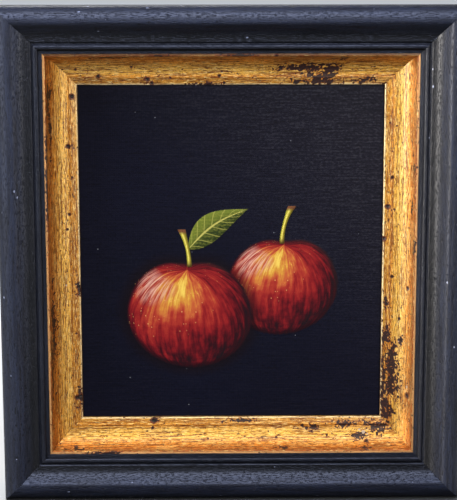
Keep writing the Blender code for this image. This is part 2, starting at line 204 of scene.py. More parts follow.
def arc(centre, radii, start, end, steps):
    turns = np.radians(np.linspace(start, end, steps + 1))
    return [(centre[0] + radii[0] * math.cos(t), centre[1] + radii[1] * math.sin(t)) for t in turns]


def spaced(points, step):
    """The same line with no stretch of it longer than a step."""
    line = [points[0]]
    for start, end in zip(points, points[1:]):
        pieces = max(1, math.ceil(math.dist(start, end) / step))
        line += [tuple(np.array(start) + (np.array(end) - start) * i / pieces) for i in range(1, pieces + 1)]
    return np.array(line)


def read(piece):
    co = np.empty(len(piece.data.vertices) * 3, np.float32)
    piece.data.vertices.foreach_get("co", co)
    return co.reshape(-1, 3).astype(float)


def write(piece, co):
    piece.data.vertices.foreach_set("co", co.astype(np.float32).ravel())
    piece.data.update()


def note(piece, name, values):
    """Keeps one number, or three, at each point for the finish to read."""
    values = np.asarray(values, np.float32)
    wide = values.ndim == 2
    layer = piece.data.attributes.new(name, "FLOAT_VECTOR" if wide else "FLOAT", "POINT")
    layer.data.foreach_set("vector" if wide else "value", values.ravel())


def set_uv(piece, u, v):
    corners = np.empty(len(piece.data.loops), np.int32)
    piece.data.loops.foreach_get("vertex_index", corners)
    layer = piece.data.uv_layers[0]
    layer.data.foreach_set("uv", np.stack([u, v], 1)[corners].astype(np.float32).ravel())


def grid(name, columns, rows):
    """A flat grid of so many cells; gives it with each point's column and its share of the way up."""
    bpy.ops.object.select_all(action="DESELECT")
    bpy.ops.mesh.primitive_grid_add(x_subdivisions=columns, y_subdivisions=rows, size=1)
    piece = bpy.context.object
    piece.name = piece.data.name = name
    co = read(piece)
    return piece, np.rint((co[:, 0] + 0.5) * columns).astype(int), co[:, 1] + 0.5


def on_side(side, out, rise, along):
    turn, half_across, _ = SIDES[side]
    points = np.stack([along, -rise, half_across + out], 1)
    turned = points @ np.array(Matrix.Rotation(math.radians(turn), 3, "Y")).T
    return (turned + np.array(CENTRE)) * MM


def pick(piece):
    """Makes a piece the only selected one, and the active one."""
    bpy.ops.object.select_all(action="DESELECT")
    piece.select_set(True)
    bpy.context.view_layer.objects.active = piece


def weld(piece, angle):
    """Joins the seam, closes the open ends, turns every face outwards and smooths all but the arrises."""
    pick(piece)
    bpy.ops.object.mode_set(mode="EDIT")
    bpy.ops.mesh.select_all(action="SELECT")
    bpy.ops.mesh.remove_doubles(threshold=WELD)
    bpy.ops.mesh.select_all(action="DESELECT")
    bpy.ops.mesh.select_mode(type="EDGE")
    bpy.ops.mesh.select_non_manifold(
        extend=False, use_wire=False, use_multi_face=False, use_non_contiguous=False, use_verts=False
    )
    bpy.ops.mesh.fill_holes(sides=0)
    bpy.ops.mesh.select_all(action="SELECT")
    bpy.ops.mesh.normals_make_consistent(inside=False)
    bpy.ops.object.mode_set(mode="OBJECT")
    bpy.ops.object.shade_smooth_by_angle(angle=math.radians(angle))


def wrap(name, side, front, hidden, steps, relief, back_off=0.03, angle=50):
    """A length of moulding: a grid wrapped round the section, its ends on the mitres.

    The front line takes the relief; the hidden line closes the section behind. Relief is given along, arc, out and
    rise at each point and gives the height to add and the notes to keep.
    """
    face = spaced(front, steps[0])
    ring = np.vstack([face, hidden, face[:1]])
    run = np.concatenate([[0], np.cumsum(np.hypot(*np.diff(ring, axis=0).T))])
    tangent = np.gradient(face, axis=0)
    tangent /= np.hypot(*tangent.T)[:, None]
    normal = np.zeros_like(ring)
    normal[: len(face)] = np.stack([-tangent[:, 1], tangent[:, 0]], 1)
    half_along = SIDES[side][2]
    rows = math.ceil(2 * (half_along + ring[:, 0].max()) / steps[1])
    piece, column, share = grid(name, len(ring) - 1, rows)
    out, rise = ring[column].T
    along = (2 * share - 1) * (half_along + out)
    height, notes = relief(side, along, run[column], out, rise)
    from_edge = np.minimum(column, len(face) - 1 - column)  # the relief fades out over the face's last two columns
    height = np.where(column < len(face), height, 0) * np.minimum(1, from_edge / 2).clip(0)
    out = np.minimum(out + normal[column, 0] * height, OUTER)
    rise = np.minimum(rise + normal[column, 1] * height, CREST_RISE)
    along = (2 * share - 1) * (half_along + out - back_off)
    write(piece, on_side(side, out, rise, along))
    shift = GRAIN_SHIFT * list(SIDES).index(side)
    set_uv(piece, (along + shift) * MM, run[column] * MM)
    for key, values in notes.items():
        note(piece, key, values)
    note(piece, "out", out)
    note(piece, "rise", rise)
    weld(piece, angle)
    return piece


def keep(piece, body, slot, finish, *replaced):
    """Gives a piece its finish and body, and hides the CAD nodes it stands for."""
    piece.data.materials.clear()
    piece.data.materials.append(finish)
    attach(piece, body)
    if replaced:
        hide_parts(*replaced)


# Rails


def gilt_front():
    edge_radius, ridge_radius, lip_radius, lip_width = 0.6, 0.5, 0.5, 0.9
    flat_end = (3.3, SIGHT_FRONT + 0.7)
    cove_end = 78
    cove_start = (flat_end[0] + 2 * ridge_radius, flat_end[1])
    cove_stop = (GILT_FACE - lip_width - lip_radius, GILT_RISE - lip_radius)
    cove_across = (cove_stop[0] - cove_start[0]) / math.sin(math.radians(cove_end))
    cove_up = (cove_stop[1] - cove_start[1]) / (1 - math.cos(math.radians(cove_end)))
    points = [(0, REBATE_DEPTH)]
    points += arc((edge_radius, SIGHT_FRONT - edge_radius), (edge_radius,) * 2, 180, 105, 5)
    points += arc((flat_end[0] + ridge_radius, flat_end[1]), (ridge_radius, 0.16), 180, 20, 6)
    points += arc((cove_start[0], cove_start[1] + cove_up), (cove_across, cove_up), -90, cove_end - 90, 40)
    points += arc((cove_stop[0] + lip_radius, cove_stop[1]), (lip_radius,) * 2, 160, 90, 4)
    return points + [(GILT_OUTER, GILT_RISE)]


def gilt_hidden():
    wall = REBATE_LAP + GAP
    return [(GILT_OUTER, GILT_BACK), (wall, GILT_BACK), (wall, REBATE_DEPTH)]


def black_front():
    """A sunk margin, a bead, a quirk, the long slope up to the crest and the rounded outer side."""
    slope_steps, shoulder = 27, 6.8
    margin = GILT_RISE + 0.6
    arris = (GILT_FACE + 5.6, margin + 1.1)
    crest = (OUTER - 8.0, CREST_RISE)
    points = [(GILT_FACE, GILT_RISE + 0.05), (GILT_FACE, margin - 0.12), (GILT_FACE + 0.12, margin)]
    points += [(GILT_FACE + 1.75, margin), (GILT_FACE + 1.95, margin + 1.0), (GILT_FACE + 2.2, margin + 1.35)]
    points += arc((GILT_FACE + 3.1, margin + 1.4), (0.8, 0.22), 160, 20, 6)
    points += [(GILT_FACE + 4.0, margin + 1.3), (GILT_FACE + 4.3, margin + 0.9), (GILT_FACE + 4.6, margin + 0.35)]
    points += [(GILT_FACE + 4.9, margin + 0.3), (GILT_FACE + 5.45, margin + 1.0)]
    points += [(arris[0] + 0.15, arris[1])]
    for share in np.linspace(0, 1, slope_steps + 1)[1:-1]:
        lean = share**1.5
        ease = lean * lean * (3 - 2 * lean)
        points.append((arris[0] + (crest[0] - arris[0]) * share, arris[1] + (crest[1] - arris[1]) * ease))
    points += arc((crest[0], crest[1] - shoulder), (OUTER - crest[0], shoulder), 90, 0, 24)
    return points + [(OUTER, 0.8)]


def black_hidden():
    return [(OUTER - 0.8, 0), (BLACK_INNER, 0), (BLACK_INNER, GILT_RISE + 0.05)]


def cut_nail_slots(rail, side):
    """A slot at each end of the rail's back, along its outer edge, so that its steel V-nails show as they are sunk."""
    half_width = NAIL_STEEL / 2 + GAP
    length = NAIL_LEG + 2 * half_width
    for end in (-1, 1):
        bpy.ops.object.select_all(action="DESELECT")
        bpy.ops.mesh.primitive_cube_add(size=1)
        cutter = bpy.context.object
        cube = read(cutter)
        along = end * (SIDES[side][2] + NAIL_OUT + half_width - (0.5 - cube[:, 0]) * length)
        write(cutter, on_side(side, NAIL_OUT + cube[:, 1] * 2 * half_width, 0.3 + cube[:, 2] * NAIL_SLOT, along))
        bpy.ops.object.mode_set(mode="EDIT")
        bpy.ops.mesh.select_all(action="SELECT")
        bpy.ops.mesh.normals_make_consistent(inside=False)
        bpy.ops.object.mode_set(mode="OBJECT")
        slot = rail.modifiers.new("nail_slot", "BOOLEAN")
        slot.operation, slot.solver, slot.object = "DIFFERENCE", "EXACT", cutter
        bpy.context.view_layer.objects.active = rail
        bpy.ops.object.modifier_apply(modifier=slot.name)
        bpy.data.objects.remove(cutter)


# What wear left on the gilding, as (along, out, size) in mm: small holes bored in the wood, and patches rubbed
# through to the bole, as (along, out, half length, half width)
HOLES = {
    "top": [(-75.7, 7.7, 0.5), (-64.7, 4.3, 0.8), (-40.9, 2.9, 1.0), (-38.6, 0.9, 0.8), (-29.7, 3.4, 0.45),
            (-5.9, 4.4, 0.6), (-48.5, 8.8, 0.5), (-4.6, 6.6, 0.4), (21.5, 14.4, 0.7), (24.0, 7.9, 0.8)],
    "right": [(-63.5, 6.0, 0.35), (-38.0, 4.2, 0.7), (-23.5, 2.2, 1.0), (-7.4, 0.5, 1.0), (11.6, 4.8, 0.7),
              (16.7, 12.2, 0.8), (32.7, 8.6, 0.6), (43.8, 9.7, 0.7), (59.0, 9.4, 0.4), (64.5, 9.8, 0.45),
              (71.1, 12.7, 1.1)],
    "bottom": [(-67.8, 11.5, 0.8), (-67.3, 14.0, 0.7), (-26.2, 13.9, 0.6), (39.4, 1.8, 1.1), (40.0, 5.4, 0.6),
               (77.9, 13.2, 0.8), (-40.4, 7.3, 0.5), (-22.4, 9.9, 0.5), (-48.0, 9.0, 0.45), (12.0, 10.4, 0.4)],
    "left": [(78.1, 2.5, 1.1), (53.7, 4.8, 0.9), (38.5, 3.1, 0.5), (20.1, 4.9, 0.6), (12.7, 6.0, 0.5),
             (-16.5, 1.1, 0.7), (-73.0, 2.6, 1.0), (-72.0, 0.6, 0.8), (-40.0, 2.6, 0.4)],
}
PATCHES = {
    "top": [(-59.0, 13.6, 7.0, 1.0), (28.6, 8.2, 5.0, 1.5), (38.2, 8.4, 7.0, 2.0), (48.0, 8.2, 4.0, 2.4),
            (33.6, 1.8, 5.5, 1.2), (42.4, 1.6, 8.0, 1.5), (54.8, 12.9, 1.6, 1.6), (65.3, 2.0, 5.0, 1.3),
            (46.0, 4.5, 7.0, 1.4), (-35.0, 14.2, 5.0, 0.7), (5.0, 14.6, 8.0, 0.6), (-14.0, 0.5, 6.0, 0.5)],
    "right": [(-43.5, 13.8, 3.0, 1.1), (-24.0, 13.2, 3.5, 0.6), (-3.2, 14.1, 2.6, 0.9), (41.7, 2.2, 4.6, 1.7),
              (52.0, 5.4, 5.0, 2.0), (58.0, 4.6, 6.5, 3.0), (66.0, 5.4, 5.0, 3.2), (64.0, 1.4, 9.0, 1.2),
              (75.4, 2.0, 6.0, 1.5), (82.6, 3.2, 4.0, 2.4), (43.5, 9.4, 2.0, 1.2), (24.0, 2.0, 3.0, 0.8)],
    "bottom": [(-73.6, 5.0, 4.0, 2.6), (-65.0, 9.4, 3.4, 1.7), (-57.9, 3.4, 4.2, 1.2), (-67.4, 13.4, 1.6, 1.3),
               (-40.2, 5.4, 3.2, 0.9), (66.0, 15.2, 9.0, 0.8), (38.8, 1.2, 2.0, 0.8), (76.5, 13.8, 5.0, 0.7),
               (-26.4, 13.6, 2.0, 0.8), (-6.0, 2.0, 5.0, 0.6)],
    "left": [(76.5, 13.4, 6.5, 1.0), (79.6, 12.6, 2.6, 1.0), (-17.0, 0.9, 2.6, 0.8), (-72.4, 1.0, 3.2, 1.2),
             (30.0, 14.4, 12.0, 0.5), (-58.0, 13.8, 14.0, 0.8), (50.0, 14.2, 7.0, 0.6),
             (-36.0, 13.0, 15.0, 1.5), (62.0, 12.8, 9.0, 0.8)],
}
CHIPS = {  # chipped to the pale gesso, as (along, out, size)
    "top": [(47.5, 10.4, 0.35)],
    "right": [(66.8, 12.4, 0.8), (65.4, 13.8, 0.5), (44.4, 8.4, 0.35), (16.9, 12.6, 0.45)],
    "bottom": [(-66.6, 7.8, 1.0), (-64.6, 6.6, 0.6), (-68.6, 8.6, 0.5)],
    "left": [(-15.3, 7.0, 0.55)],
}


def gilt_relief(side, along, run, out, rise):
    """Hand-finished gesso: soft waves, combed streaks, bored holes, and leaf rubbed through in ragged patches."""
    seed = first_seed(side, 100)
    face = spaced(gilt_front(), GILT_STEPS[0])
    face_run = np.concatenate([[0], np.cumsum(np.hypot(*np.diff(face, axis=0).T))])

    def run_at(out_there):
        return float(np.interp(out_there, face[:, 0], face_run))

    height = 0.10 * layered(along / 21, run / 5, seed) + 0.05 * rough(along / 9, run / 0.8, seed + 11)
    height += 0.035 * layered(along / 1.4, run / 0.65, seed + 17)
    ragged = layered(along / 1.7, run / 1.2, seed + 23, 4) + 0.8 * rough(along / 0.6, run / 0.5, seed + 31)
    rub = np.full_like(along, -1.0)
    for middle, at, half_length, half_width in PATCHES[side]:
        far = ((along - middle) / half_length) ** 2 + ((run - run_at(at)) / half_width) ** 2
        rub = np.maximum(rub, 1 - 0.62 * np.sqrt(far))
    rub = 0.5 + 0.5 * rub * np.where(rub > 0, 1, 0.4) - 0.17 + 0.38 * ragged
    wobble = 1 + 0.25 * rough(along * 1.3, run * 1.3, seed + 41)
    hole = np.full_like(along, 3.0)
    for middle, at, size in HOLES[side]:
        far = np.hypot(along - middle, run - run_at(at)) / size / wobble
        hole = np.minimum(hole, far)
    chip = np.full_like(along, 3.0)
    for middle, at, size in CHIPS[side]:
        chip = np.minimum(chip, np.hypot(along - middle, run - run_at(at)) / size)
    height -= 0.08 * soft_step(0.46, 0.54, rub)
    height -= 0.12 * (1 - soft_step(0.6, 1.2, chip))
    height -= 0.42 * (1 - soft_step(0.25, 1.0, hole))
    height += 0.05 * np.exp(-(((hole - 1.3) / 0.35) ** 2))
    tick = rough(along / 1.7, run / 0.42, seed + 53) + 0.35 * rough(along / 0.7, run / 0.5, seed + 59)
    height -= 0.05 * soft_step(0.68, 0.95, tick)
    lip = np.full_like(along, 0.25 if side == "top" else 1.0)  # the pale line on the lip is painted highlight; the top rail's lip faces down and gets little of it, as painted shade
    return height, {"rub": rub, "hole": hole, "tick": tick, "run": run, "lip": lip, "chip": chip}


def black_relief(side, along, run, out, rise):
    """Planed wood under thin paint: long soft ripples, open pores and a few dents."""
    seed = first_seed(side, 1000)
    height = 0.04 * layered(along / 34, run / 6, seed) + 0.012 * rough(along / 6.5, run / 1.4, seed + 7)
    height += 0.009 * layered(along / 1.7, run / 1.3, seed + 13)
    pore = rough(along / 2.3, run / 0.45, seed + 19)
    height -= 0.05 * soft_step(0.55, 0.9, pore)
    rng = np.random.default_rng(seed + 29)
    nick = np.full_like(along, 3.0)
    for _ in range(9):
        middle, at, size = rng.uniform(-100, 100), rng.uniform(4, 30), rng.uniform(0.25, 0.55)
        nick = np.minimum(nick, np.hypot((along - middle) / 1.8, run - at) / size)
    height -= 0.09 * (1 - soft_step(0.3, 1.0, nick))
    return height, {"nick": nick, "pore": pore}


# The picture: two apples, their stalks and a leaf

APPLES = {  # middle, radius and lean as the CAD's, then how far the stalk's dip is turned to the viewer
    "front": ((-21, -31), 30, -0.04, 0.50),
    "rear": ((25, -17), 27, 0.06, 0.42),
}


def apple_fields(x, z, middle, radius, lean, nod):
    """Each point on a round fruit: turn about its core, drop from the stalk, depth in from its edge, light."""
    local_z = (z - middle[1]) / 0.96
    local_x = (x - middle[0] - lean * (z - middle[1])) / 1.04
    turn = np.arctan2(local_z, local_x)
    from_top = np.abs((turn - math.pi / 2 + math.pi) % (2 * math.pi) - math.pi)
    reach = radius * (1 - 0.10 * np.exp(-((from_top / 0.32) ** 2)) - 0.05 * np.clip(-np.sin(turn), 0, 1) ** 2)
    share = np.hypot(local_x, local_z) / reach
    inside = (1 - share) * radius
    ball_x, ball_z = local_x / reach, local_z / reach
    flat = np.clip(share, 0, 0.995)
    ball_x, ball_z = ball_x * flat / np.maximum(share, 1e-6), ball_z * flat / np.maximum(share, 1e-6)
    ball_y = np.sqrt(1 - flat**2)  # towards the viewer
    up = ball_z * math.cos(nod) + ball_y * math.sin(nod)
    near = -ball_z * math.sin(nod) + ball_y * math.cos(nod)
    around = np.arctan2(ball_x, near)
    drop = np.arccos(np.clip(up, -1, 1))
    glow = (np.stack([ball_x, ball_z, ball_y], 1) @ (LIGHT / np.linalg.norm(LIGHT))).clip(-0.2, 1)
    dip = np.exp(-((drop / 0.34) ** 2))
    return around, drop, inside, glow - 0.55 * dip * (ball_z < 0.999)


def stalk_fields(x, z, foot, height, bend, widths=(2.6, 4.2)):
    share = (z - foot[1]) / height
    inside_share = np.clip(share, 0, 1)
    middle = foot[0] + bend * inside_share**2
    half = (widths[0] + (widths[1] - widths[0]) * inside_share) / 2 * (1 - 0.35 * np.sin(np.pi * inside_share))
    across = (x - middle) / half
    inside = np.minimum(half * (1 - np.abs(across)), np.minimum(z - foot[1], foot[1] + height - z))
    return across, share, inside


def leaf_fields(x, z, foot, turn, length=36, width=15, bow=3):
    cos, sin = math.cos(turn), math.sin(turn)
    run = ((x - foot[0]) * cos + (z - foot[1]) * sin) / length
    side = -(x - foot[0]) * sin + (z - foot[1]) * cos
    share = np.clip(run, 0.001, 0.999)
    half = width / 2 * np.sin(np.pi * share**0.8) * (1 - 0.25 * share)
    across = (side - bow * np.sin(np.pi * share)) / np.maximum(half, 0.05)
    inside = np.minimum(half * (1 - np.abs(across)), np.minimum(run, 1 - run) * length)
    return run, across, inside


def add_picture(finish):
    """The linen as one sheet, its paint standing in low relief where the strokes are thick."""
    half_x, half_z = SIGHT_WIDTH / 2 + REBATE_LAP, SIGHT_HEIGHT / 2 + REBATE_LAP
    columns, rows = 250, 277
    piece, _, _ = grid("painted_linen", columns, rows)
    flat = read(piece)
    x, z = flat[:, 0] * 2 * half_x, flat[:, 1] * 2 * half_z
    rise = np.full_like(x, LINEN_FRONT)
    rise += 0.02 * layered(x / 9, z / 2.2, 7) + 0.012 * rough(x / 3.0, z / 0.9, 9)
    paint = {}
    for name, (middle, radius, lean, nod) in APPLES.items():
        around, drop, inside, glow = apple_fields(x, z, middle, radius, lean, nod)
        paint[name] = np.stack([around, drop, inside], 1)
        paint[name + "_light"] = glow
        stroke = rough(around * 11, drop * 2.4, 51) + 0.6 * rough(around * 26, drop * 5, 57)
        film = soft_step(-0.6, 2.4, inside) * (0.22 + 0.14 * np.clip(glow, 0, 1))
        rise = np.maximum(rise, LINEN_FRONT + film + 0.05 * stroke * soft_step(0, 3, inside))
    stalks = {}
    for name, (middle, radius, lean, nod) in APPLES.items():
        foot = (middle[0] + 0.1, middle[1] + 0.80 * radius)
        across, share, inside = stalk_fields(x, z, foot, 19, 5 if name == "rear" else -4)
        stalks[name] = np.stack([across, share, inside], 1)
        rise += 0.42 * soft_step(-0.1, 1.0, inside)
    leaf_foot = (APPLES["front"][0][0] - 0.4, APPLES["front"][0][1] + APPLES["front"][1] + 3)
    run, across, inside = leaf_fields(x, z, leaf_foot, math.radians(34))
    rise += soft_step(-0.2, 1.2, inside) * (0.26 + 0.05 * rough(run * 22, across * 2.5, 61))
    rise -= 0.08 * soft_step(0.2, 0.0, np.abs(across)) * soft_step(0, 1, inside)
    write(piece, np.stack([x, -rise, z + CENTRE.z], 1) * MM)
    note(piece, "front", paint["front"])
    note(piece, "rear", paint["rear"])
    note(piece, "light", np.stack([paint["front_light"], paint["rear_light"], np.zeros_like(x)], 1))
    note(piece, "stalk_front", stalks["front"])
    note(piece, "stalk_rear", stalks["rear"])
    note(piece, "leaf", np.stack([run, across, inside], 1))
    set_uv(piece, x * MM, z * MM)
    # The linen's edge and back: the border drawn back to the board, then closed
    bpy.ops.object.mode_set(mode="EDIT")
    bpy.ops.mesh.select_all(action="DESELECT")
    bpy.ops.mesh.select_mode(type="EDGE")
    bpy.ops.mesh.select_non_manifold(extend=False)
    bpy.ops.mesh.extrude_edges_move(TRANSFORM_OT_translate={"value": (0, LINEN * MM, 0)})
    bpy.ops.object.mode_set(mode="OBJECT")
    co = read(piece)
    co[(columns + 1) * (rows + 1) :, 1] = -(LINEN_FRONT - LINEN) * MM
    write(piece, co)
    weld(piece, 60)
    keep(piece, "frame", "linen", finish, "linen", *[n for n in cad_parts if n.startswith("paint_")])


# The back


def tape_line():
    """Gummed paper pressed on the backing, over the points and on to the gilt rail's back."""
    over = BACKING_BACK - 1.1
    return [
        (-9.0, BACKING_BACK - GAP), (-7.2, BACKING_BACK - GAP), (-6.4, over), (3.0, over),
        (4.8, GILT_BACK - GAP), (GILT_OUTER - 0.5, GILT_BACK - GAP),
    ]


def tape_relief(side, along, run, out, rise):
    """Paper that cockled as its gum dried, and stands up a little over the points."""
    seed = first_seed(side, 3000)
    height = 0.05 * layered(along / 9, run / 5, seed) + 0.03 * rough(along / 2.5, run / 8, seed + 3)
    return np.minimum(height, 0.1), {}


def add_tapes(finish):
    line = tape_line()
    for side in SIDES:
        back = [(out, rise - 0.3) for out, rise in line]
        # Drawn from the outer end inwards, so that the paper's back takes the relief
        piece = wrap(f"gummed_paper_{side}", side, back[::-1], line, TAPE_STEPS, tape_relief, 0.12, 40)
        keep(piece, "frame", "tape", finish, f"tape_{side}")


def refined(node, name, bevel=0.0, angle=35, rounds=0):
    """A copy of a CAD piece as a maker would leave it: its doubles merged, its arrises eased, its rounds smooth."""
    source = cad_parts[node]
    piece = bpy.data.objects.new(name, source.data.copy())
    piece.data.name = name
    bpy.context.scene.collection.objects.link(piece)
    pick(piece)
    bpy.ops.object.mode_set(mode="EDIT")
    bpy.ops.mesh.select_all(action="SELECT")
    bpy.ops.mesh.remove_doubles(threshold=WELD)
    bpy.ops.mesh.dissolve_limited(angle_limit=math.radians(1))
    bpy.ops.object.mode_set(mode="OBJECT")
    if rounds:
        smooth = piece.modifiers.new("rounds", "SUBSURF")
        smooth.levels = smooth.render_levels = rounds
        bpy.ops.object.modifier_apply(modifier=smooth.name)
    if bevel:
        ease = piece.modifiers.new("ease", "BEVEL")
        ease.width, ease.segments, ease.limit_method = bevel * MM, 2, "ANGLE"
        ease.angle_limit = math.radians(angle)
        bpy.ops.object.modifier_apply(modifier=ease.name)
    bpy.ops.object.shade_smooth_by_angle(angle=math.radians(angle))
    return piece


# Finishes


def gilding():
    """Leaf over red-brown bole on gesso, rubbed and toned: satin metal, brown streaks along the rail, dark specks."""
    made, tree, shader = new_finish("gold_leaf_over_bole", Coat_Weight=0.5, Coat_Roughness=0.3)
    where = add(tree, "UVMap", uv_map="UVMap")
    run, out = attribute(tree, "run"), attribute(tree, "out")
    streak = noise(tree, stretched(tree, where, (0.019, 0.0010, 1)), 4, 0.65)  # combed about 1 mm apart
    fine = noise(tree, stretched(tree, where, (0.0034, 0.00042, 1)), 4, 0.7)
    cloud = noise(tree, stretched(tree, where, (0.022, 0.006, 1), (4, 9, 0)), 3, 0.5)
    grain = noise(tree, stretched(tree, where, (0.0011, 0.0007, 1), (2, 3, 0)), 4, 0.7)
    # Colour across the section: paler through the middle of the cove, where the highlight falls, is painted highlight;
    # the deep orange-brown up the cove's outer wall is partly bole showing and partly painted shade of the hollow
    lit_and_shaded_zone = add(
        tree,
        "ValToRGB",
        {0: maths(tree, "DIVIDE", run, 25.0)},
        stops=[(0.0, "#dcb04c"), (0.09, "#daa63a"), (0.13, "#c58a2a"), (0.25, "#de9a30"), (0.31, "#eebb4e"),
               (0.45, "#f3c25a"), (0.62, "#eda03a"), (0.78, "#d9822a"), (0.88, "#ab5a18")],
    )
    colour = mix(tree, maths(tree, "MULTIPLY", between(tree, cloud, 0.50, 0.72), 0.45), lit_and_shaded_zone, "#f7d582")
    colour = mix(tree, maths(tree, "MULTIPLY", between(tree, streak, 0.55, 0.38), 0.85), colour, "#7c3c0a")
    # Pale flecks on the fine pattern: painted sparkle highlights
    colour = mix(tree, maths(tree, "MULTIPLY", between(tree, fine, 0.53, 0.64), 0.9), colour, "#fdeaa4")
    colour = mix(tree, maths(tree, "MULTIPLY", between(tree, fine, 0.47, 0.38), 0.95), colour, "#57260a")
    colour = mix(tree, maths(tree, "MULTIPLY", between(tree, grain, 0.56, 0.66), 0.75), colour, "#4c240c")
    # A pale line along the lip, broken by the fine pattern: painted highlight. The top rail's lip, facing down, gets a
    # quarter of it and is painted dark brown instead: painted shade
    lit_lip_share = attribute(tree, "lip")
    lip = maths(tree, "MULTIPLY", between(tree, fine, 0.30, 0.42), lit_lip_share)
    lip = maths(tree, "MULTIPLY", between(tree, out, 14.55, 14.8), lip)
    colour = mix(tree, lip, colour, "#dca970")
    shaded_top_lip = maths(tree, "MULTIPLY", between(tree, out, 14.3, 14.7), between(tree, lit_lip_share, 0.6, 0.3))
    colour = mix(tree, maths(tree, "MULTIPLY", shaded_top_lip, 0.85), colour, "#553620")
    # The sight edge's arris: a pale line, broken by the streaks, painted as highlight
    arris = maths(tree, "MULTIPLY", between(tree, out, 0.02, 0.12), between(tree, out, 0.75, 0.5))
    arris = maths(tree, "MULTIPLY", arris, between(tree, streak, 0.36, 0.48))
    colour = mix(tree, maths(tree, "MULTIPLY", arris, 0.75), colour, "#fff0c4")
    # Specks, and short dark ticks pressed along the grain
    cells = add(
        tree, "TexVoronoi", {"Vector": stretched(tree, where, (0.0030, 0.0022, 1)), "Scale": 1.0, "Randomness": 1.0}
    )
    speck = between(tree, maths(tree, "MULTIPLY_ADD", grain, 0.12, cells), 0.185, 0.13)
    tick = between(tree, attribute(tree, "tick"), 0.66, 0.84)
    dark = maths(tree, "MAXIMUM", maths(tree, "MULTIPLY", speck, 0.9), maths(tree, "MULTIPLY", tick, 0.8))
    # Worn through: bole in the patches, and near black at the bottom of a hole, painted shade
    edge = maths(tree, "ADD", attribute(tree, "rub"), maths(tree, "MULTIPLY_ADD", grain, 0.42, -0.21))
    worn = between(tree, edge, 0.48, 0.52)
    hole = attribute(tree, "hole")
    ring = maths(tree, "ADD", hole, maths(tree, "MULTIPLY_ADD", grain, 1.8, -0.9))
    ringed = maths(tree, "MULTIPLY", between(tree, ring, 1.7, 1.4), 0.92)
    bole = mix(tree, between(tree, grain, 0.42, 0.60), "#0e0507", "#3a1110")
    bole = mix(tree, maths(tree, "MULTIPLY", between(tree, cloud, 0.48, 0.68), 0.45), bole, "#2b1418")
    colour = mix(tree, dark, colour, "#3a1a10")
    colour = mix(tree, ringed, colour, "#5f2212")
    colour = mix(tree, maths(tree, "MULTIPLY", between(tree, edge, 0.38, 0.49), 0.75), colour, "#8a3b12")
    colour = mix(tree, worn, colour, bole)
    # Near black in each hole: painted shade
    colour = mix(tree, between(tree, hole, 0.95, 0.7), colour, "#120908")
    chip = maths(tree, "ADD", attribute(tree, "chip"), maths(tree, "MULTIPLY_ADD", grain, 1.6, -0.8))
    chipped = between(tree, chip, 1.0, 0.85)
    colour = mix(tree, chipped, colour, "#b9aba2")
    bare = maths(tree, "MAXIMUM", dark, maths(tree, "MAXIMUM", ringed, chipped))
    bare = maths(tree, "MAXIMUM", worn, bare, clamp=True)
    metal = maths(tree, "MULTIPLY_ADD", bare, -0.32, 0.84, clamp=True)
    satin = maths(tree, "MULTIPLY_ADD", fine, -0.30, 0.62)
    join(tree, shader, Base_Color=colour, Metallic=metal, Roughness=maths(tree, "MULTIPLY_ADD", bare, 0.15, satin))
    height = maths(tree, "ADD", maths(tree, "MULTIPLY", streak, 0.6), maths(tree, "MULTIPLY", fine, 0.6))
    height = maths(tree, "ADD", height, maths(tree, "MULTIPLY", grain, -0.4))
    bump(tree, shader, height, 0.0005, 0.8)
    return made


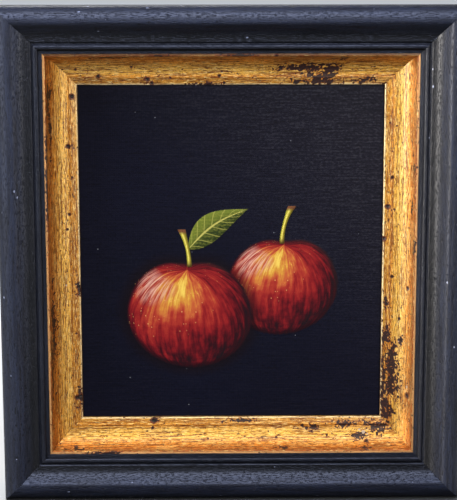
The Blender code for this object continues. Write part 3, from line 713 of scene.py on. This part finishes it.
def ebonised():
    """Open-grained wood stained black under thin satin lacquer: dark pores along the rail, blue-grey sheen, partly
    painted into the crest's colour, nicks.
    """
    made, tree, shader = new_finish("black_stained_open_grained_wood", Specular_IOR_Level=0.28)
    where = add(tree, "UVMap", uv_map="UVMap")
    rise = attribute(tree, "rise")
    pores = noise(tree, stretched(tree, where, (0.0024, 0.0006, 1)), 3, 0.65)  # pores up to 0.5 mm wide, 2 mm long
    figure = noise(tree, stretched(tree, where, (0.03, 0.0022, 1), (7, 1, 0)), 4, 0.55)
    mottle = noise(tree, stretched(tree, where, (0.0019, 0.0015, 1), (3, 5, 0)), 4, 0.65)
    slope = mix(tree, between(tree, figure, 0.35, 0.65), "#060606", "#0d0c0b")
    crest = mix(tree, between(tree, figure, 0.35, 0.65), "#101117", "#1b1e27")
    out = attribute(tree, "out")
    black = mix(tree, between(tree, out, 23.0, 28.5), slope, crest)  # lighter, bluer black up to the crest: painted sheen of a blue sky; down the slope it stays near black, a little brown
    # The bead next to the gilt takes some of the crest's lighter, bluer black: a painted highlight line
    black = mix(tree, maths(tree, "MULTIPLY", between(tree, out, 21.4, 20.6), 0.4), black, crest)
    flank = between(tree, out, 38.0, 38.45)  # stained, but hardly lacquered, and without the painted sheen
    black = mix(tree, flank, black, slope)
    black = mix(tree, maths(tree, "MULTIPLY", between(tree, mottle, 0.54, 0.72), 0.4), black, "#202124")
    cut_pore = between(tree, attribute(tree, "pore"), 0.55, 0.8)
    open_pore = maths(tree, "MAXIMUM", between(tree, pores, 0.46, 0.36), cut_pore)
    black = mix(tree, open_pore, black, "#050508")
    nick = attribute(tree, "nick")
    black = mix(tree, maths(tree, "MULTIPLY", between(tree, nick, 0.9, 0.5), 0.8), black, "#8e9098")
    # The back is bare wood, with stain run over its edges
    raw = mix(tree, between(tree, figure, 0.38, 0.62), "#b58f62", "#94704a")
    raw = mix(tree, between(tree, pores, 0.44, 0.36), raw, "#6f5234")
    spill = maths(tree, "ADD", out, maths(tree, "MULTIPLY", figure, 4.0))
    raw = mix(tree, between(tree, spill, 37.4, 39.4), raw, "#1d1c20")
    colour = mix(tree, between(tree, rise, 0.35, 0.12), black, raw)
    dull = maths(tree, "MULTIPLY_ADD", between(tree, out, 24.0, 29.0), 0.06, 0.26)
    dull = maths(tree, "MULTIPLY_ADD", mottle, 0.22, dull)
    dull = maths(tree, "MULTIPLY_ADD", flank, 0.5, dull)
    dull = maths(tree, "MAXIMUM", dull, maths(tree, "MULTIPLY", between(tree, rise, 0.35, 0.12), 0.8))
    join(tree, shader, Base_Color=colour, Roughness=dull)
    height = maths(tree, "MULTIPLY", between(tree, pores, 0.34, 0.5), 0.7)
    height = maths(tree, "ADD", height, maths(tree, "MULTIPLY", mottle, 0.35))
    bump(tree, shader, height, 0.0002, 0.7)
    return made


def apple_paint(tree, name, light, colour):
    """Strokes drawn down the fruit from its stalk: yellow flush on the shoulder, crimson, then dark at the edge."""
    place = attribute(tree, name, 1)
    around, drop, inside = parts_of(tree, place)
    hair = noise(tree, mapped(tree, place, (17, 2.2, 0)), 4, 0.6)
    stroke = noise(tree, mapped(tree, place, (6.5, 1.3, 0), (3, 8, 0)), 3, 0.55)
    blot = noise(tree, mapped(tree, place, (5, 5, 0), (9, 2, 0)), 3, 0.6)
    flush_side = maths(tree, "ADD", maths(tree, "MULTIPLY", around, 0.9), 0.15)
    flush_side = between(tree, maths(tree, "ABSOLUTE", flush_side), 1.0, 0.0)
    flush = maths(tree, "MULTIPLY", flush_side, between(tree, drop, 1.65, 0.5))
    value = maths(tree, "MULTIPLY_ADD", light, 0.34, 0.26)
    value = maths(tree, "MULTIPLY_ADD", flush, 0.38, value)
    value = maths(tree, "MULTIPLY_ADD", maths(tree, "SUBTRACT", stroke, 0.5), 0.85, value)
    value = maths(tree, "MULTIPLY_ADD", maths(tree, "SUBTRACT", hair, 0.5), 0.36, value)
    value = maths(tree, "MULTIPLY_ADD", maths(tree, "SUBTRACT", blot, 0.5), 0.34, value)
    value = maths(tree, "MULTIPLY", value, between(tree, inside, -1.5, 3.5))
    paint = add(
        tree,
        "ValToRGB",
        {0: value},
        stops=[(0.0, "#17121b"), (0.16, "#2e0f19"), (0.30, "#58121d"), (0.46, "#861d24"), (0.60, "#a3352d"),
               (0.74, "#bd633a"), (0.87, "#cf9840"), (1.0, "#e8cd62")],
    )
    dots = add(tree, "TexVoronoi", {"Vector": mapped(tree, place, (11, 9, 0)), "Scale": 1.0})
    dotted = maths(tree, "MULTIPLY", between(tree, dots, 0.15, 0.08), between(tree, light, 0.25, 0.7))
    paint = mix(tree, maths(tree, "MULTIPLY", dotted, 0.7), paint, "#e9b679")
    glint = maths(tree, "MULTIPLY", between(tree, light, 0.86, 0.99), between(tree, hair, 0.40, 0.62))
    paint = mix(tree, maths(tree, "MULTIPLY", glint, 0.75), paint, "#e3bfb4")
    edge = maths(tree, "ADD", inside, maths(tree, "MULTIPLY_ADD", hair, 2.2, -1.1))
    return mix(tree, between(tree, edge, -0.5, 0.7), colour, paint)


def picture_paint():
    """Oil on fine linen under satin varnish: dark ground brushed sideways, the weave just showing through it."""
    made, tree, shader = new_finish("oil_paint_on_linen", Specular_IOR_Level=0.06)
    where = add(tree, "UVMap", uv_map="UVMap")
    drawn = noise(tree, stretched(tree, where, (0.013, 0.0009, 1)), 3, 0.6)  # a flat brush, drawn sideways
    thread = noise(tree, stretched(tree, where, (0.0015, 0.0010, 1), (1, 6, 0)), 3, 0.6)
    sweep = maths(tree, "MULTIPLY_ADD", drawn, 0.45, maths(tree, "MULTIPLY", thread, 0.55))
    cloud = noise(tree, stretched(tree, where, (0.06, 0.05, 1), (5, 5, 0)), 2, 0.5)
    corner = add(tree, "SeparateXYZ", {0: where})
    high = add(tree, "SeparateXYZ", {0: where}, out=1)
    veil = between(tree, maths(tree, "ADD", corner, high), -0.01, 0.15)  # thinner towards the upper right
    ground = mix(tree, cloud, "#0a0c1c", "#0e1126")
    ground = mix(tree, maths(tree, "MULTIPLY", veil, 0.8), ground, "#1d1e2b")
    brushed = maths(tree, "MULTIPLY", between(tree, sweep, 0.49, 0.61), maths(tree, "MULTIPLY_ADD", veil, 0.30, 0.03))
    ground = mix(tree, brushed, ground, "#484a58")
    ground = mix(tree, maths(tree, "MULTIPLY", between(tree, sweep, 0.49, 0.38), 0.5), ground, "#07080e")
    dust = add(tree, "TexVoronoi", {"Vector": stretched(tree, where, (0.011, 0.009, 1)), "Scale": 1.0})
    ground = mix(tree, maths(tree, "MULTIPLY", between(tree, dust, 0.035, 0.02), 0.7), ground, "#8b93a6")
    lights = [add(tree, "SeparateXYZ", {0: attribute(tree, "light", 1)}, out=i) for i in (0, 1)]
    colour = apple_paint(tree, "rear", lights[1], ground)
    # The shadow that the front apple throws on the rear one
    shade = add(tree, "SeparateXYZ", {0: attribute(tree, "front", 1)}, out=2)
    colour = mix(tree, maths(tree, "MULTIPLY", between(tree, shade, -7.0, 0.5), 0.75), colour, "#120c13")
    colour = apple_paint(tree, "front", lights[0], colour)
    leaf = parts_of(tree, attribute(tree, "leaf", 1))
    ribs = add(
        tree, "Math", {0: maths(tree, "SUBTRACT", maths(tree, "MULTIPLY", leaf[0], 46.0),
                               maths(tree, "MULTIPLY", maths(tree, "ABSOLUTE", leaf[1]), 7.0))}, operation="SINE"
    )
    green = mix(tree, between(tree, leaf[1], -0.5, 0.6), "#2c3a1e", "#66752f")
    green = mix(tree, maths(tree, "MULTIPLY", between(tree, sweep, 0.45, 0.65), 0.5), green, "#8d9440")
    green = mix(tree, maths(tree, "MULTIPLY", between(tree, ribs, 0.86, 1.0), 0.6), green, "#a9ab5a")
    green = mix(tree, between(tree, maths(tree, "ABSOLUTE", leaf[1]), 0.09, 0.04), green, "#b9b765")
    colour = mix(tree, between(tree, leaf[2], -0.15, 0.35), colour, green)
    for name in ("rear", "front"):
        stalk = parts_of(tree, attribute(tree, "stalk_" + name, 1))
        lit = add(
            tree, "ValToRGB", {0: maths(tree, "MULTIPLY_ADD", stalk[0], 0.5, 0.5)},
            stops=[(0.0, "#5f6426"), (0.22, "#b9b541"), (0.40, "#e6dd72"), (0.62, "#a39a35"), (1.0, "#3d3f1c")],
        )
        lit = mix(tree, between(tree, stalk[1], 0.84, 0.95), lit, "#6b4630")
        lit = mix(tree, between(tree, stalk[1], 0.22, 0.0), lit, "#4a3a1c")
        colour = mix(tree, between(tree, stalk[2], -0.12, 0.22), colour, lit)
    join(tree, shader, Base_Color=colour, Roughness=maths(tree, "MULTIPLY_ADD", sweep, 0.2, 0.34))
    # Linen threads lie 0.5 mm apart; the weave is drawn at 0.9 mm, so that it shows in the render
    threads = [
        add(tree, "TexWave", {"Vector": stretched(tree, where, (0.0009, 0.0009, 1)), "Scale": 0.314, "Distortion": 0.6,
                              "Detail": 1.0}, out=1, bands_direction=way)
        for way in ("X", "Y")
    ]
    weave = maths(tree, "MULTIPLY", maths(tree, "ADD", threads[0], maths(tree, "MULTIPLY", threads[1], 1.6)), 0.12)
    height = maths(tree, "ADD", weave, maths(tree, "MULTIPLY", sweep, 0.8))
    bump(tree, shader, height, 0.00012, 0.6)
    return made


def plain_finish(name, colours, size, roughness, distance=0.00005, metallic=0.0):
    """A small part's finish: two tones of one colour in patches of a real size, and a surface to match."""
    made, tree, shader = new_finish(name, Metallic=metallic)
    where = add(tree, "TexCoord", out=3)
    patches = noise(tree, stretched(tree, where, size), 4, 0.6)
    colour = mix(tree, between(tree, patches, 0.36, 0.64), *colours)
    join(tree, shader, Base_Color=colour, Roughness=maths(tree, "MULTIPLY_ADD", patches, 0.3, roughness - 0.15))
    bump(tree, shader, patches, distance, 0.6)
    return made


# Assembly

gilt, black, picture = gilding(), ebonised(), picture_paint()
# Bright zinc plate, a little dulled: cool grey metal with soft cloudy patches
zinc = plain_finish("zinc_plated_steel", ("#b9bcc0", "#8f9296"), (0.002, 0.002, 0.0006), 0.34, metallic=1.0)
# Gummed kraft paper: brown, matt, with fibres and the cockle of dried gum
kraft = plain_finish("gummed_kraft_paper", ("#a98253", "#8f6b42"), (0.004, 0.004, 0.0012), 0.82, 0.00008)
# Hardboard: hard pressed wood fibre, dark brown, mottled
hardboard = plain_finish("pressed_hardboard", ("#745a42", "#5c4431"), (0.0016, 0.0016, 0.0009), 0.78, 0.00003)
# Bare panel board under the linen, its cut edge pale brown
panel = plain_finish("panel_board", ("#93714c", "#7f5f3e"), (0.003, 0.003, 0.001), 0.8)
# Moulded rubber: near black, dull
rubber = plain_finish("moulded_rubber", ("#2b2b2c", "#38383a"), (0.0012, 0.0012, 0.0012), 0.72, 0.00004)

for side in SIDES:
    rail = wrap(f"gilded_moulding_{side}", side, gilt_front(), gilt_hidden(), GILT_STEPS, gilt_relief, 0.02)
    keep(rail, "frame", "gilt", gilt, f"gilt_rail_{side}")
    rail = wrap(f"black_moulding_{side}", side, black_front(), black_hidden(), BLACK_STEPS, black_relief, 0.03, 40)
    cut_nail_slots(rail, side)
    keep(rail, "frame", "black", black, f"black_rail_{side}")
add_picture(picture)
add_tapes(kraft)
for side in ("left", "right"):
    keep(refined(f"strap_{side}", f"hanger_strap_{side}", 0.15), "frame", "steel", zinc, f"strap_{side}")
    keep(refined(f"screw_{side}", f"wood_screw_{side}"), "frame", "steel", zinc, f"screw_{side}")
    keep(refined(f"d_ring_{side}", f"hanging_ring_{side}", 0, 60, 1), f"ring_{side}", "steel", zinc, f"d_ring_{side}")
    keep(refined(f"bumper_{side}", f"rubber_bumper_{side}", 0.15, 50), "frame", "rubber", rubber, f"bumper_{side}")
kept = {"panel_board": panel, "backing_board": hardboard, "point_": zinc, "black_vnail_": zinc, "gilt_vnail_": zinc}
for node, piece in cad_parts.items():
    for start, finish in kept.items():
        if node.startswith(start):
            for slot in piece.material_slots:
                slot.material = finish

# Room: a pale floor at the frame's foot. Three lamps light the gilding and the picture, five are snooted on to the
# black rails, each to its own rails, and one stands behind

FLOOR_WIDTH, FLOOR_GAP = 6, 0.2 * MM  # in metres
low = min(cad_box[0][2], cad_box[1][2])
bpy.ops.object.select_all(action="DESELECT")
bpy.ops.mesh.primitive_plane_add(size=FLOOR_WIDTH, location=(0, 0, low - FLOOR_GAP))
floor = bpy.context.object
floor.name = "pale_floor"
floor.data.materials.append(
    plain_finish("matt_pale_floor", ("#dfe1e4", "#dadde0"), (0.4, 0.4, 0.4), 0.7, 0.0001)
)


def area_light(name, toward, distance, size, watts, colour, skips=(), only=()):
    """A soft lamp that faces the picture from a direction, flagged off some pieces or snooted on to some."""
    light = bpy.data.lights.new(name, "AREA")
    light.shape, light.size, light.size_y = "RECTANGLE", size[0], size[1]
    light.energy, light.color = watts, linear(colour)[:3]
    lamp = bpy.data.objects.new(name, light)
    bpy.context.scene.collection.objects.link(lamp)
    toward = Vector(toward).normalized()
    lamp.location = CENTRE * MM + toward * distance
    lamp.rotation_euler = toward.to_track_quat("Z", "Y").to_euler()
    if skips or only:
        lamp.light_linking.receiver_collection = group = bpy.data.collections.new(name + "_falls_on")
        for place, piece in enumerate(skips or only):
            group.objects.link(piece)
            group.collection_objects[place].light_linking.link_state = "EXCLUDE" if skips else "INCLUDE"


dark_rails = [bpy.data.objects[f"black_moulding_{side}"] for side in SIDES]
off_dark = [floor, *dark_rails]
SKY, CARD = (1.3, 0.75), (0.5, 0.9)  # a wide pane of sky, and an upright card
FROM_SKY = (-0.08, -0.69, 0.72)
LAMPS = {  # towards it, how far off, its size in metres, watts and colour, and what it is flagged off or snooted on to
    "high_window": ((-0.03, -0.20, 0.98), 1.2, (1.3, 0.8), 21, "#fff2de", {"skips": off_dark}),
    "side_window": ((-0.97, -0.18, 0.16), 1.2, (0.8, 0.8), 28, "#ffffff", {"skips": off_dark}),
    "front_softbox": ((0.38, -0.91, 0.13), 1.5, (1.1, 0.8), 15, "#fff0dc", {"skips": off_dark}),
    "skylight": (FROM_SKY, 1.3, SKY, 54, "#ccd8ff", {"only": [dark_rails[i] for i in (0, 1, 3)]}),
    "low_skylight": (FROM_SKY, 1.3, SKY, 43, "#ccd8ff", {"only": dark_rails[2:3]}),
    "left_strip": ((-0.86, -0.50, 0.12), 1.2, CARD, 14, "#e4ebff", {"only": dark_rails[2:]}),
    "left_card": ((-0.50, -0.86, 0.12), 1.2, CARD, 48, "#fffaf4", {"only": dark_rails[1:2]}),
    "right_card": ((0.80, -0.58, 0.12), 1.2, CARD, 9, "#fafaff", {"only": dark_rails[3:]}),
    "back_window": ((-0.35, 0.85, 0.55), 1.6, (1.2, 1.0), 36, "#ffffff", {}),
}
for name, (toward, distance, size, watts, colour, falls) in LAMPS.items():
    area_light(name, toward, distance, size, watts, colour, **falls)

world = bpy.data.worlds.new("pale_room")
bpy.context.scene.world = world
world.use_nodes = True
room = world.node_tree
toward = add(room, "TexCoord", out=0)
ahead = add(room, "SeparateXYZ", {0: toward}, out=1)
shade = add(
    room, "ValToRGB", {0: maths(room, "MULTIPLY_ADD", ahead, 0.5, 0.5)},
    stops=[(0.0, "#8a8682"), (0.08, "#7e7c7a"), (0.2, "#5f5e5f"), (0.6, "#686b70"), (1.0, "#bfc4cb")],
)
room.links.new(shade, room.nodes["Background"].inputs["Color"])

# Camera: a long lens a little above the picture, looking down 9.6 degrees

LENS, SENSOR = 108, 36
TILT, PAN, ROLL = 9.579, 0.651, 0.078  # in degrees
CAMERA_AWAY = 732.0
lens_camera = bpy.data.cameras.new("camera")
lens_camera.lens, lens_camera.sensor_width = LENS, SENSOR
camera = bpy.data.objects.new("camera", lens_camera)
bpy.context.scene.collection.objects.link(camera)
tilt, pan, roll = (math.radians(a) for a in (TILT, PAN, ROLL))
looking = Vector((math.sin(pan) * math.cos(tilt), math.cos(pan) * math.cos(tilt), -math.sin(tilt)))
aim = CENTRE + Vector((-1.60, -GILT_RISE, 3.9))
camera.location = (aim - looking * CAMERA_AWAY) * MM
camera.rotation_euler = (looking.to_track_quat("-Z", "Y").to_matrix() @ Matrix.Rotation(-roll, 3, "Z")).to_euler()
bpy.context.scene.camera = camera
bpy.context.scene.view_settings.view_transform = "Standard"
